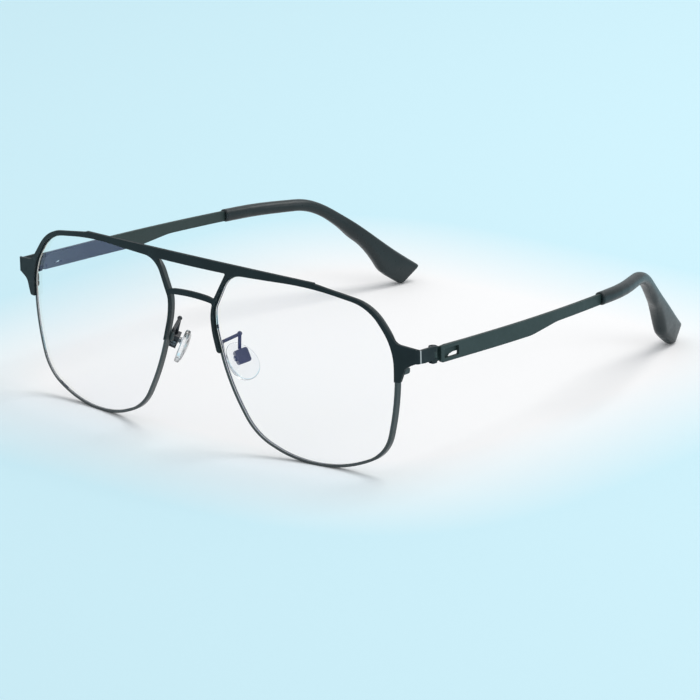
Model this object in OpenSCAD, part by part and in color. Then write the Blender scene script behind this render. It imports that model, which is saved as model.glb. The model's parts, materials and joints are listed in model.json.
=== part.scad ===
// Eyeglass frame with a stamped double bridge front, folded end pieces and moulded temple tips.
// Millimetres. X runs across the face, the front faces -Y, Z is up and the frame rests on z = 0.
// Left and right are the wearer's: the left half lies at +X.

/* [Lens] */
// Width of the lens box
lens_w = 57; // [53:0.5:61]
// Height of the lens box
lens_h = 49.4; // [46:0.2:53]
// Thickness of the lens
lens_t = 1.4; // [1.1:0.1:1.6]

/* [Front] */
// Distance between the lenses
bridge_w = 16.1; // [14.5:0.1:19]
// Reach of the end piece past the lens
end_w = 6.95; // [6.2:0.05:8.5]
// Radius of the spherical curve of the front
front_r = 290; // [240:10:480]
// Height of the foremost point of that curve
curve_z = 28.5; // [22:0.5:36]
// Thickness of the front plate
plate_t = 0.8; // [0.6:0.05:1]
// Rise of the brow bar above the lenses at its middle
brow_h = 2.25; // [1.8:0.05:3]
// Radius of the arch along the top of the brow bar
brow_r = 880; // [600:20:2000]
// Distance from the middle of the lens to the end of the brow bar
brow_end = 4.4; // [2:0.1:8]
// Width of the plate's strip outside the lens edge
strip_w = 1.1; // [0.8:0.05:1.4]
// Height of the middle of the end piece above the middle of the lens
end_rise = 10.05; // [9:0.05:11]
// Height of the end piece at its fold
end_h = 3.9; // [3.4:0.1:4.4]
// Drop of the tab from the middle of the end piece
tab_drop = 7.65; // [7:0.05:9]
// Width of the tab outside the lens edge
tab_w = 1.65; // [1.3:0.05:2.4]
// Drop of the nose strap's end below the lower bridge
strap_drop = 14.65; // [13:0.05:17]
// Width of the nose strap at its end
strap_w = 1.8; // [1.5:0.05:2.4]
// Distance from the lens edge to the far side of the nose strap's end
strap_in = 3; // [2.5:0.05:3.5]
// Height of the lower bridge above the middle of the lens
bridge_rise = 16.4; // [15:0.1:18]
// Width of the lower bridge bar
bridge_bar = 1.55; // [1.3:0.05:2]
// Radius of the arch of the lower bridge
bridge_r = 60; // [45:1:90]
// Outer radius of the fold of the end piece
fold_r = 1; // [0.9:0.05:1.4]

/* [Eyewire] */
// Width of the eyewire seen from the front
rim_w = 0.8; // [0.7:0.05:1.1]
// Depth of the eyewire from front to back
rim_d = 1.6; // [1.5:0.05:2.1]
// Width of the groove that holds the lens
groove_w = 0.8; // [0.6:0.05:0.9]
// Depth of that groove
groove_d = 0.4; // [0.3:0.05:0.5]
// Drop of the split of the eyewire from the middle of the end piece
lock_drop = 4.05; // [3.8:0.05:4.4]
// Height of the upper half of the lock
lock_up_h = 2.2; // [1.8:0.05:2.3]
// Height of the lower half of the lock
lock_h = 1.4; // [1.2:0.05:1.7]
// Width of the lock across the face
lock_w = 2; // [1.9:0.05:2.2]
// Depth of the lock from front to back
lock_d = 2.3; // [2:0.1:2.9]
// Radius of the lock screw
lock_screw_r = 0.5; // [0.4:0.05:0.55]

/* [Hinge] */
// Length of the folded side from the fold to the hinge pin
side_len = 6.6; // [6:0.1:7.5]
// Outer radius of the rolled barrels
barrel_r = 1.15; // [1.05:0.05:1.3]
// Height of the three barrels together
hinge_h = 4.5; // [4.2:0.1:4.8]
// Drop of their lower end from the middle of the end piece
hinge_drop = 3.35; // [3.1:0.05:3.5]
// Height of the middle barrel
leaf_h = 1.74; // [1.5:0.02:2]
// Radius of the hinge screw
pin_r = 0.5; // [0.4:0.05:0.55]
// Length of the hinge leaf behind the pin
leaf_len = 15; // [13:0.5:20]
// Thickness of the hinge leaf
leaf_t = 0.7; // [0.5:0.05:0.8]

/* [Temple] */
// Thickness of the temple
temple_t = 0.9; // [0.7:0.05:1.1]
// Height of the temple at its front
temple_h = 4.6; // [4.3:0.1:4.9]
// Height of the temple before its step down
temple_mid_h = 4.65; // [4.4:0.05:5]
// Height of the temple at the tip
temple_end_h = 2.95; // [2.6:0.05:3.1]
// Distance from the hinge pin to the step down
knee_at = 40.5; // [36:0.5:46]
// Length of the step down
knee_len = 11.5; // [9:0.5:16]
// Distance from the hinge pin to the tip
sleeve_at = 73.7; // [68:0.1:80]
// Length of the temple behind the hinge that runs straight back
straight_len = 22; // [18:0.5:30]
// Angle by which the temple leans inward where it enters the tip
temple_in = 6.6; // [4:0.1:8]
// Angle by which the temple drops toward the ear
temple_drop = 3.15; // [2.5:0.05:4]
// Distance from the hinge pin to the window
window_at = 3.45; // [3.2:0.05:4]
// Length of the window
window_len = 6; // [5:0.25:7]
// Height of the window
window_h = 2.6; // [2.3:0.1:2.8]

/* [Tip] */
// Height of the tip at its mouth
sleeve_h = 3.6; // [3.3:0.1:4]
// Thickness of the tip
tip_t = 3.2; // [2.8:0.1:3.6]
// Distance from the mouth to the bend
bend_at = 29.8; // [28:0.2:32]
// Distance from the bend to the rear end
leg_len = 32; // [30:0.2:35]
// Length of the hoof's slanted end along the frame
hoof_len = 6.2; // [5:0.1:7]
// Height of the heel above the ground
heel_h = 4.7; // [4:0.1:5.5]
// Angle by which the rear of the tip leans inward
tip_in = 21; // [17:0.1:24]
// Distance from the mouth to where the tip starts to curl inward
curl_at = 6; // [2:0.5:9]
// Length over which the tip curls inward
curl_len = 12; // [10:0.5:18]
// Distance by which the hoof turns its lower edge inward
hoof_turn = 1.1; // [0.6:0.1:1.5]
// Length of the temple's tang inside the tip
tang_len = 15; // [10:0.5:20]

/* [Nose pads] */
// Distance from the middle of the bridge to the middle of the left pad's back face
pad_x = 11.25; // [10:0.05:12.5]
// Distance from the front to that place
pad_y = 8.05; // [7:0.05:9.5]
// Height of that place above the middle of the lens
pad_rise = -0.8; // [-2:0.1:1]
// Angle by which the pad leans outward toward its foot
pad_lean = 27; // [22:0.5:30]
// Angle by which the pad opens toward the face
pad_splay = 30; // [26:0.5:34]
// Length of the pad
pad_l = 13; // [12:0.25:14]
// Width of the pad
pad_w = 7.5; // [7:0.25:8.25]
// Thickness of the pad
pad_t = 2.2; // [2:0.1:2.6]
// Radius of the pad's crowned face
pad_r = 16; // [14:0.5:20]
// Radius of the pad arm's wire
arm_r = 0.5; // [0.4:0.05:0.6]
// Height and width of the pad box
box_s = 4; // [3.8:0.1:4.2]
// Depth of the pad box
box_d = 2.6; // [2.5:0.05:2.9]
// Wall of the pad box
box_wall = 0.5; // [0.4:0.05:0.55]

/* [Fits] */
// Gap between a pin and the bore that turns on it
run_gap = 0.05; // [0.02:0.01:0.08]
// Gap between pieces that are fixed together
seat = 0.02; // [0.01:0.005:0.04]
// Gap between the lens edge and its groove
lens_gap = 0.05; // [0.02:0.01:0.08]

/* [Hidden] */
$fn = 48;

// Facet count of the large sphere, chord error of rounded outlines, and steps along the curve of the temple
sphere_fn = 360;
chord = 0.012;
plan_steps = 12;

// Reach of the prisms that cut the front, before and behind its foremost point
cut_front = 5;
cut_rear = 25;

// Depths below the front surface
rim_front = plate_t + seat;
rim_back = plate_t + rim_d;
groove_front = (rim_front + rim_back - groove_w) / 2;
groove_back = groove_front + groove_w;
lens_front = (groove_front + groove_back - lens_t) / 2;

// Heights and places of the lens
lens_low = rim_w / 2;
lens_top = lens_low + lens_h;
lens_mid = lens_low + lens_h / 2;
lens_in = bridge_w / 2;
lens_out = lens_in + lens_w;
lens_cx = (lens_in + lens_out) / 2;
pad_at = [pad_x, pad_y, lens_mid + pad_rise];
end_z = lens_mid + end_rise;
lock_z = end_z - lock_drop;

// The fold of the end piece, where a small cylinder meets the front surface from inside
fold_x = lens_out + end_w;
fold_hub_x = fold_x - fold_r;
fold_hub_y = front_r - sqrt(pow(front_r - fold_r, 2) - pow(fold_hub_x, 2));
fold_angle = asin(fold_hub_x / (front_r - fold_r));
fold_start_x = front_r * sin(fold_angle);

// The hinge
hinge_x = fold_x - barrel_r;
hinge_y = fold_hub_y + side_len;
hinge_low = end_z - hinge_drop;
hinge_top = hinge_low + hinge_h;
leaf_low = hinge_low + (hinge_h - leaf_h) / 2;
hinge_gap = 0.08;
pin_head_r = 0.8;
pin_head_h = 0.35;
pin_end = 0.3;
side_low = end_z - end_h / 2 - 0.3;
side_top = end_z + end_h / 2 - 0.35;
side_end = side_top - 0.3;

// The temple
temple_y = hinge_y + barrel_r + 0.95;
sleeve_y = hinge_y + sleeve_at;
temple_top = side_top - 0.75;
bow_y = hinge_y + straight_len;
bow = tan(temple_in) / (2 * (sleeve_y - bow_y));
curl = (tan(tip_in) - tan(temple_in)) / (2 * curl_len);
tang_h = temple_end_h - 0.6;
tang_end = sleeve_y + tang_len;
window_front = hinge_y + window_at;
window_rear = window_front + window_len;

// The tip
sleeve_rise = 0.4;
bend_y = sleeve_y + bend_at;
end_y = bend_y + leg_len;
depth = end_y;

// The nose pads
box_gap = 0.45;
pad_pin_r = 0.4;
pad_pin_head_r = 0.75;
pad_pin_head_h = 0.35;
lug_r = 1;
lug_w = 1.8;
lug_x = 1.4;
core_w = 2.8;
core_l = 3.6;
core_t = 0.5;
core_depth = 1;

// Place along Y of the surface that lies a depth below the front surface
function sag(x, z, below = 0) = front_r - sqrt(pow(front_r - below, 2) - x * x - pow(z - curve_z, 2));

function unit(v) = v / norm(v);
function cross_z(a, b) = a.x * b.y - a.y * b.x;
function turned(v, a) = [v.x * cos(a) - v.y * sin(a), v.x * sin(a) + v.y * cos(a)];
function mixed(a, b, t) = a + (b - a) * t;

// The points that round the corner b, which lies between a and c
function fillet(a, b, c, r) =
    let (
        u = unit([a.x - b.x, a.y - b.y]),
        v = unit([c.x - b.x, c.y - b.y]),
        open = acos(max(-1, min(1, u * v))),
        hub = [b.x, b.y] + unit(u + v) * r / sin(open / 2),
        first = [b.x, b.y] + u * r / tan(open / 2) - hub,
        sweep = (180 - open) * sign(cross_z(-u, v)),
        steps = max(2, ceil((180 - open) / (2 * acos(1 - min(0.4, chord / r)))))
    )
    [for (i = [0:steps]) hub + turned(first, sweep * i / steps)];

// How far the fillet of the corner b reaches along its two edges
function reach(a, b, c) =
    let (u = unit([a.x - b.x, a.y - b.y]), v = unit([c.x - b.x, c.y - b.y]))
    b[2] * sqrt((1 + u * v) / max(0.000001, 1 - u * v));

// A closed outline from corners [x, y, radius], where neighbouring fillets share the edge between them
function rounded(corners) =
    let (
        n = len(corners),
        reaches = [for (i = [0:n - 1])
            reach(corners[(i + n - 1) % n], corners[i], corners[(i + 1) % n])],
        edges = [for (i = [0:n - 1])
            norm([corners[(i + 1) % n].x - corners[i].x, corners[(i + 1) % n].y - corners[i].y])],
        fits = [for (i = [0:n - 1]) edges[i] / max(edges[i], reaches[i] + reaches[(i + 1) % n])]
    )
    [for (i = [0:n - 1])
        let (a = corners[(i + n - 1) % n], b = corners[i], c = corners[(i + 1) % n])
        each b[2] > 0 ? fillet(a, b, c, b[2] * min(fits[i], fits[(i + n - 1) % n])) : [[b.x, b.y]]];

// Corners of a convex outline, counterclockwise, moved outward by d
function grown(corners, d) =
    let (n = len(corners))
    [for (i = [0:n - 1])
        let (
            a = corners[(i + n - 1) % n],
            b = corners[i],
            c = corners[(i + 1) % n],
            e = unit([b.y - a.y, a.x - b.x]),
            f = unit([c.y - b.y, b.x - c.x]),
            m = (e + f) / (1 + e * f)
        )
        [b.x + d * m.x, b.y + d * m.y, b[2] + d]];

// The other half of a symmetrical list, in reverse order
function mirrored(list) = [for (i = [len(list) - 1:-1:0]) [-list[i].x, list[i].y, list[i][2]]];

// A quadratic curve from a to c, pulled toward b
function pulled(a, b, c, steps) =
    [for (i = [0:steps - 1]) let (t = i / steps) mixed(mixed(a, b, t), mixed(b, c, t), t)];

// A shallow arch between two places, highest in the middle of the frame
function arch(from, to, top, r, steps) =
    [for (i = [0:steps]) let (x = mixed(from, to, i / steps)) [x, top - x * x / (2 * r), 0]];

// Corners of the lens in hundredths of its box, from the nose outward. Radii are in hundredths of its width.
lens_shape = [
    [8.4, 99, 12], [0.1, 78.4, 9], [-0.3, 69.9, 40], [7.4, 38.1, 112], [21.5, 10.2, 29], [37.7, 2.75, 50],
    [64.3, -3.95, 69], [93.5, 12.6, 22], [100.3, 44.4, 118], [99.8, 73.7, 30], [86.9, 94, 23], [55, 100.4, 158]
];
lens_corners = [for (p = lens_shape) [lens_in + p.x * lens_w / 100, lens_low + p.y * lens_h / 100, p[2] * lens_w / 100]];

function lens_outline(d) = rounded(grown(lens_corners, d));

// Where the strip's edge leaves the brow bar, on the line between two corners of the lens
strip_corners = grown(lens_corners, strip_w);
strip_a = strip_corners[11];
strip_b = strip_corners[10];
brow_x = lens_cx + brow_end;
brow_top = lens_top + brow_h;
strip_z = mixed(strip_a.y, strip_b.y, (brow_x - strip_a.x) / (strip_b.x - strip_a.x));
tab_z = end_z - tab_drop;
tab_x = lens_out + tab_w;
bridge_z = lens_mid + bridge_rise;
strap_z = bridge_z - bridge_bar / 2 - strap_drop + 0.8;
strap_x = lens_in + strap_in - strap_w;

// Half of the plate's outline, clockwise from the middle of the brow bar to the lower bridge
plate_half = concat(
    arch(0.5, brow_x - 2, brow_top, brow_r, 8),
    [
        [brow_x, brow_top - brow_x * brow_x / (2 * brow_r), 0.7],
        [brow_x, strip_z, 0.25],
        [strip_b.x, strip_b.y, strip_b[2]],
        [lens_out + 0.65, end_z + end_h / 2 + 0.8, 3],
        [fold_start_x, end_z + end_h / 2, 0],
        [fold_start_x, end_z - end_h / 2, 0],
        [tab_x + 1.5, end_z - end_h / 2 - 1.45, 2.5],
        [tab_x, tab_z, 0.4],
        [lens_out - 1.5, tab_z, 0],
        [strap_x + strap_w + 1.5, strap_z, 0],
        [strap_x, strap_z, 0.9],
        [strap_x - 1.5, strap_z + 5.3, 20],
        [strap_x - 2.15, strap_z + 10.4, 12],
        [strap_x - 1.4, bridge_z - bridge_bar / 2 - 0.55, 0.5]
    ],
    arch(strap_x - 3.2, 0.5, bridge_z - bridge_bar / 2, bridge_r, 4)
);

// The opening between the two bridges
gap_half = concat(
    [
        [lens_in + 4.25, lens_top - 0.55, 0.3],
        [lens_in + 0.2, bridge_z + bridge_bar / 2 - 0.8, 0.3]
    ],
    arch(lens_in - 2, 0.5, bridge_z + bridge_bar / 2, bridge_r - bridge_bar, 4)
);

module centred() {
    translate([0, -depth / 2, 0]) children();
}

module left() {
    centred() children();
}

module right() {
    centred() mirror([1, 0, 0]) children();
}

// A prism along Y through the front, from its outline in X and Z
module through(outline) {
    translate([0, cut_rear, 0])
        rotate([90, 0, 0])
            linear_extrude(cut_rear + cut_front) polygon(outline);
}

// A prism along X between two places, from its outline in Y and Z
module across(outline, from, to) {
    translate([from, 0, 0])
        rotate([90, 0, 90])
            linear_extrude(to - from) polygon(outline);
}

// All that lies deeper than a depth below the front surface
module behind(depth) {
    translate([0, front_r, curve_z]) sphere(front_r - depth, $fn = sphere_fn);
}

// The part of a shape between two depths below the front surface
module between(from, to) {
    difference() {
        intersection() {
            children();
            behind(from);
        }
        behind(to);
    }
}

// A disc inside the lens edge, moved outward by a distance, between two depths
module layer(grow, from, to) {
    between(from, to) through(lens_outline(grow));
}

// A tube through rings of points, closed at both ends
module skin(rings) {
    n = len(rings[0]);
    m = len(rings);
    faces = concat(
        [[for (i = [0:n - 1]) i]],
        [for (j = [0:m - 2]) for (i = [0:n - 1]) each
            let (a = j * n + i, b = j * n + (i + 1) % n)
            [[a, a + n, b], [b, a + n, b + n]]],
        [[for (i = [n - 1:-1:0]) (m - 1) * n + i]]
    );
    polyhedron([for (r = rings) each r], faces);
}

// Front plate

module fold() {
    hub = [fold_hub_x, fold_hub_y];
    steps = 12;
    sector = [for (i = [0:steps]) let (a = -90 + fold_angle + (90 - fold_angle) * i / steps)
        hub + fold_r * 1.5 * [cos(a), sin(a)]];
    low = end_z - end_h / 2;
    intersection() {
        translate([0, 0, low]) linear_extrude(end_h) difference() {
            translate(hub) circle(fold_r);
            translate(hub) circle(fold_r - plate_t);
        }
        translate([0, 0, low]) linear_extrude(end_h) polygon(concat([hub], sector));
    }
}

side_outline = rounded([
    [fold_hub_y, side_top, 0],
    [fold_hub_y, end_z - end_h / 2, 0],
    [fold_hub_y + side_len / 3, side_low, 2],
    [hinge_y - 1.4, side_low, 0.6],
    [hinge_y - 0.9, hinge_low, 0.4],
    [hinge_y, hinge_low, 0],
    [hinge_y, side_end, 0.4]
]);

module front_barrel() {
    translate([hinge_x, hinge_y, hinge_low]) cylinder(r = barrel_r, h = hinge_h);
}

module folded_side() {
    room = barrel_r + 0.15;
    difference() {
        union() {
            fold();
            across(side_outline, fold_x - plate_t, fold_x);
            front_barrel();
        }
        translate([hinge_x, hinge_y, leaf_low - hinge_gap])
            cylinder(r = room, h = leaf_h + 2 * hinge_gap);
        translate([hinge_x, hinge_y, hinge_low - 1])
            cylinder(r = pin_r + seat, h = hinge_h + 2);
        translate([hinge_x, hinge_y, hinge_top - pin_head_h - seat])
            cylinder(r = pin_head_r + seat, h = pin_head_h + 1);
    }
}

module front_plate() {
    color("#1e2d30") centred() union() {
        between(0, plate_t) difference() {
            through(rounded(concat(plate_half, mirrored(plate_half))));
            through(lens_outline(-0.05));
            mirror([1, 0, 0]) through(lens_outline(-0.05));
            through(rounded(concat(gap_half, mirrored(gap_half))));
        }
        folded_side();
        mirror([1, 0, 0]) folded_side();
    }
}

// Eyewires and lenses

split = 0.2;
lock_x = lens_out + rim_w / 2 + seat;
lock_front = sag(lock_x + lock_w, lock_z + lock_up_h + split, plate_t) + 2 * seat;
lock_screw_x = lock_x + lock_w / 2;
lock_screw_y = lock_front + lock_d / 2;
lock_head_r = lock_screw_r + 0.25;
lock_head_h = 0.5;
lock_edge = 0.6;

module rim() {
    color("#2c373a") difference() {
        layer(rim_w / 2, rim_front, rim_back);
        layer(-rim_w / 2, rim_front - 1, rim_back + 1);
        layer(groove_d - rim_w / 2, groove_front, groove_back);
        translate([lens_out - 3, 0, lock_z - split / 2]) cube([6, 20, split]);
    }
}

module lens() {
    color([0.8, 0.85, 0.95, 0.35]) union() {
        layer(-rim_w / 2 - lens_gap, lens_front, lens_front + lens_t);
        layer(groove_d - rim_w / 2 - lens_gap, groove_front + lens_gap, groove_back - lens_gap);
    }
}

// One half of the lock, from the split to its far end
module lock_half(upper) {
    h = upper ? lock_up_h : lock_h;
    low = upper ? lock_z + split / 2 : lock_z - split / 2 - h;
    side = rounded([
        [lock_front, low, 0.2],
        [lock_front + lock_d, low, upper ? 0.1 : lock_edge],
        [lock_front + lock_d, low + h, upper ? lock_edge : 0.1],
        [lock_front, low + h, 0.2]
    ]);
    color("#20292c") difference() {
        across(side, lock_x, lock_x + lock_w);
        translate([lock_screw_x, lock_screw_y, low - 1])
            cylinder(r = lock_screw_r + seat, h = h + 2);
        if (!upper) translate([lock_screw_x, lock_screw_y, low - 1])
            cylinder(r = lock_head_r + seat, h = 1 + lock_head_h + seat);
    }
}

module lock_screw() {
    low = lock_z - split / 2 - lock_h;
    color("#3a4346") translate([lock_screw_x, lock_screw_y, low]) difference() {
        union() {
            cylinder(r = lock_head_r, h = lock_head_h);
            cylinder(r = lock_screw_r, h = lock_h + lock_up_h + split - 0.15);
        }
        translate([-1, -0.1, -1]) cube([2, 0.2, 1.25]);
    }
}

// Hinge

module hinge_screw() {
    color("#39474b") translate([hinge_x, hinge_y, 0]) difference() {
        union() {
            translate([0, 0, hinge_low - pin_end])
                cylinder(r = pin_r, h = hinge_h + pin_end - 0.05);
            translate([0, 0, hinge_top - pin_head_h])
                cylinder(r = pin_head_r, h = pin_head_h - 0.05);
        }
        translate([-1, -0.1, hinge_top - 0.25]) cube([2, 0.2, 1]);
    }
}

// Outer face of the left temple and its tip, as X for a place along Y
function temple_x(y) =
    let (b = max(0, min(y, sleeve_y) - bow_y), s = max(0, y - sleeve_y), t = max(0, s - curl_at), c = min(t, curl_len))
    fold_x - bow * b * b - s * tan(temple_in) - curl * c * (2 * t - c);

// Upper edge of the temple
function temple_z(y) = temple_top - (y - hinge_y) * tan(temple_drop);

// Plan of a strip that follows the temple, between two depths from its outer face
function strip_plan(from, to, start, end) =
    let (
        ys = concat(
            [start],
            [for (i = [0:plan_steps]) let (y = mixed(bow_y, sleeve_y, i / plan_steps)) if (y > start && y < end) y],
            [for (y = [sleeve_y + 2.5:2.5:end - 0.5]) y],
            [end]
        )
    )
    concat(
        [for (y = ys) [temple_x(y) - from, y]],
        [for (i = [len(ys) - 1:-1:0]) [temple_x(ys[i]) - to, ys[i]]]
    );

module plan_strip(from, to, start, end) {
    linear_extrude(hinge_top + 20) polygon(strip_plan(from, to, start, end));
}

leaf_x = barrel_r - pin_r;
leaf_mid = leaf_low + leaf_h / 2;
leaf_end = hinge_y + leaf_len;
leaf_outline = rounded([
    [hinge_y, leaf_low + leaf_h, 0],
    [hinge_y, leaf_low, 0],
    [window_front - 0.6, leaf_low, 0.8],
    [window_front + 0.6, leaf_mid - 0.95, 0.8],
    [window_rear, leaf_mid - 1.3, 2],
    [leaf_end, leaf_mid - 2, 0.8],
    [leaf_end, leaf_mid + 0.8, 0.8],
    [window_front + 1, leaf_mid + 1.5, 1.5],
    [window_front - 0.6, leaf_low + leaf_h, 0.8]
]);

module hinge_leaf() {
    from = temple_t + seat;
    color("#33434a") difference() {
        union() {
            intersection() {
                plan_strip(from, from + leaf_t, hinge_y, leaf_end + 1);
                across(leaf_outline, hinge_x - 20, fold_x + 1);
            }
            translate([hinge_x, hinge_y, leaf_low]) cylinder(r = barrel_r, h = leaf_h);
        }
        translate([hinge_x, hinge_y, leaf_low - 1]) cylinder(r = pin_r + run_gap, h = leaf_h + 2);
    }
}

// Temple

knee_y = hinge_y + knee_at;
tang_low = temple_z(sleeve_y) - (temple_end_h + tang_h) / 2;
// Where the temple narrows to its tang, clear of the slanted mouth of the tip
shoulder_y = sleeve_y - seat - temple_t / 2 * tan(temple_in);

swell_y = hinge_y + straight_len;
temple_outline = rounded([
    [temple_y, temple_z(temple_y), 0.5],
    [temple_y, temple_z(temple_y) - temple_h, 0.8],
    [swell_y, temple_z(swell_y) - temple_mid_h, 40],
    [knee_y, temple_z(knee_y) - temple_mid_h, 18],
    [knee_y + knee_len, temple_z(knee_y + knee_len) - temple_end_h - 0.15, 25],
    [shoulder_y, temple_z(shoulder_y) - temple_end_h, 0],
    [shoulder_y, tang_low + (sleeve_y - shoulder_y) * tan(temple_drop), 0],
    [tang_end, tang_low - tang_len * tan(temple_drop), 0.6],
    [tang_end, tang_low + tang_h - tang_len * tan(temple_drop), 0.6],
    [shoulder_y, tang_low + tang_h + (sleeve_y - shoulder_y) * tan(temple_drop), 0],
    [shoulder_y, temple_z(shoulder_y), 0]
]);
window_mid = temple_z(window_front + window_len / 2) - temple_h / 2;
window_slope = window_len / 2 * tan(temple_drop);
window_outline = rounded([
    [window_front, window_mid - window_h / 2 + window_slope, 0.4],
    [window_rear, window_mid - window_h / 2 - window_slope, 0.4],
    [window_rear, window_mid + window_h / 2 - window_slope, 0.4],
    [window_front, window_mid + window_h / 2 + window_slope, 0.4]
]);

module temple() {
    color("#3b4c50") difference() {
        intersection() {
            plan_strip(0, temple_t, temple_y, tang_end + 1);
            across(temple_outline, 0, fold_x + 1);
        }
        across(window_outline, hinge_x - 20, fold_x + 1);
    }
}

// Temple tip: the lower and upper edge from the mouth to the hoof, as [y, z]

mouth_top = temple_z(sleeve_y) + sleeve_rise;
mouth_low = mouth_top - sleeve_h;
bend_drop = bend_at * tan(temple_drop);
bend_top = [bend_y, mouth_top - bend_drop - 0.25];
bend_low = [bend_y - 0.6, mouth_low - bend_drop + 0.05];
heel = [end_y, heel_h];
toe = [end_y - hoof_len, 0];
heel_run = unit(heel - bend_top);
throat = [mixed(bend_low.x, toe.x, 0.47), mixed(bend_low.y, toe.y, 0.41)];
throat_run = unit(throat - bend_low);
hoof = [toe.x - 6.7, toe.y + 4.3];

// Reach of the bend's rounding before and behind its corner, and that of the hoof
bend_round = 5.5;
leg_round = 7;
hoof_round = 1.65;

// Points along each stretch of the two edges: arm, bend, leg, hoof and sole
edge_steps = [6, 8, 4, 6, 4];

// The waist of the upper edge above the heel
waist = mixed(bend_top, heel, 0.8) + 0.3 * [heel_run.y, -heel_run.x];

slope = [1, -tan(temple_drop)];
upper_bend = bend_top - bend_round * slope;
upper_leg = bend_top + leg_round * heel_run;
upper_edge = concat(
    pulled([sleeve_y, mouth_top], [sleeve_y + bend_at / 2, mouth_top - bend_drop / 2],
        upper_bend, edge_steps[0]),
    pulled(upper_bend, bend_top, upper_leg, edge_steps[1]),
    pulled(upper_leg, waist, heel, edge_steps[2] + edge_steps[3] + edge_steps[4]),
    [heel]
);
lower_bend = bend_low - bend_round * slope;
lower_leg = bend_low + leg_round * throat_run;
hoof_start = hoof + hoof_round * [-0.42, 0.91];
lower_edge = concat(
    pulled([sleeve_y, mouth_low], [sleeve_y + bend_at / 2, mouth_low - bend_drop / 2],
        lower_bend, edge_steps[0]),
    pulled(lower_bend, bend_low, lower_leg, edge_steps[1]),
    pulled(lower_leg, mixed(lower_leg, throat, 0.5), throat, edge_steps[2]),
    pulled(throat, throat + leg_round / 2 * throat_run, hoof_start, edge_steps[3]),
    pulled(hoof_start, hoof, toe, edge_steps[4]),
    [toe]
);

// How far the lower edge turns inward at a place along the tip
function hoof_lean(y) = lookup(y, [[bend_y, 0], [hoof.x, hoof_turn], [toe.x, hoof_turn / 3]]);

// A rounded rectangle between the two edges at one station
function tip_ring(low, high, t) =
    let (
        h = norm(high - low),
        corner = min(1.2, t * 0.42, h * 0.42),
        steps = 4,
        run = (temple_x(mixed(low.x, high.x, 0.5) + 0.5) - temple_x(mixed(low.x, high.x, 0.5) - 0.5)),
        side = unit([1, -run])
    )
    [for (q = [0:3]) for (i = [0:steps])
        let (
            a = 90 * q + 90 * i / steps,
            f = ((q == 0 || q == 1 ? h - corner : corner) + corner * sin(a)) / h,
            w = (q == 0 || q == 3 ? 1 : -1) * (t / 2 - corner) + corner * cos(a),
            p = mixed(low, high, f)
        )
        [temple_x(p.x) - temple_t / 2 - hoof_lean(low.x) * (1 - f) + w * side.x, p.x + w * side.y, p.y]];

module temple_tip() {
    n = len(upper_edge) - 1;
    color("#33403f") difference() {
        skin([for (i = [0:n]) tip_ring(lower_edge[i], upper_edge[i], tip_t)]);
        intersection() {
            plan_strip(-seat, temple_t + seat, sleeve_y - 1, tang_end + seat);
            across([
                [sleeve_y - 1, tang_low - seat + tan(temple_drop)],
                [tang_end + 1, tang_low - seat - (tang_len + 1) * tan(temple_drop)],
                [tang_end + 1, tang_low + tang_h + seat - (tang_len + 1) * tan(temple_drop)],
                [sleeve_y - 1, tang_low + tang_h + seat + tan(temple_drop)]
            ], 0, fold_x + 1);
        }
    }
}

// Nose pads, in their own frame: X points away from the nose, Z up along the pad

module at_pad() {
    translate(pad_at) rotate([0, -pad_lean, 0]) rotate([0, 0, -pad_splay]) children();
}

function pad_place(p) =
    let (
        q = [p.x * cos(pad_splay) + p.y * sin(pad_splay), p.y * cos(pad_splay) - p.x * sin(pad_splay)]
    )
    pad_at + [
        q.x * cos(pad_lean) - p.z * sin(pad_lean),
        q.y,
        q.x * sin(pad_lean) + p.z * cos(pad_lean)
    ];

pad_egg = [for (a = [0:10:350]) [pad_w / 2 * cos(a) * (1 - 0.14 * sin(a)), pad_l / 2 * sin(a)]];
core_egg = [for (a = [0:15:345]) [core_w / 2 * cos(a), core_l / 2 * sin(a)]];

module pad_slice(outline, from, to) {
    translate([from, 0, 0]) rotate([90, 0, 90]) linear_extrude(to - from) polygon(outline);
}

module lug() {
    rotate([90, 0, 0]) translate([lug_x, 0, -lug_w / 2]) cylinder(r = lug_r, h = lug_w);
    translate([-core_depth, -lug_w / 2, -0.7]) cube([lug_x + core_depth, lug_w, 1.4]);
}

module core(grow) {
    pad_slice(core_egg * (1 + grow), -core_depth - core_t - grow, -core_depth + grow);
}

module nose_pad() {
    color([0.93, 0.95, 0.97, 0.5]) at_pad() difference() {
        intersection() {
            pad_slice(pad_egg, -pad_t, 0);
            translate([pad_r - pad_t, 0, 0]) sphere(pad_r, $fn = 120);
        }
        core(seat);
        translate([-core_depth - 0.1, -lug_w / 2 - seat, -0.7 - seat])
            cube([core_depth + 1, lug_w + 2 * seat, 1.4 + 2 * seat]);
    }
}

module pad_insert() {
    color("#a9adb3") at_pad() difference() {
        union() {
            core(0);
            lug();
        }
        rotate([90, 0, 0]) translate([lug_x, 0, -lug_w])
            cylinder(r = pad_pin_r + run_gap, h = 2 * lug_w);
    }
}

module pad_box() {
    half = box_s / 2;
    color("#2b3136") at_pad() difference() {
        pad_slice(rounded([
            [-half + 0.2, -half, 0.7], [half - 0.2, -half, 0.7],
            [half - 0.2, half, 0.7], [-half + 0.2, half, 0.7]
        ]), box_gap, box_gap + box_d);
        translate([box_gap - 1, -half + 0.2 + box_wall, -half - 1])
            cube([box_d - box_wall + 1, 2 * (half - 0.2 - box_wall), box_s + 1 - box_wall]);
        rotate([90, 0, 0]) translate([lug_x, 0, -box_s])
            cylinder(r = pad_pin_r + seat, h = 2 * box_s);
    }
}

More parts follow.
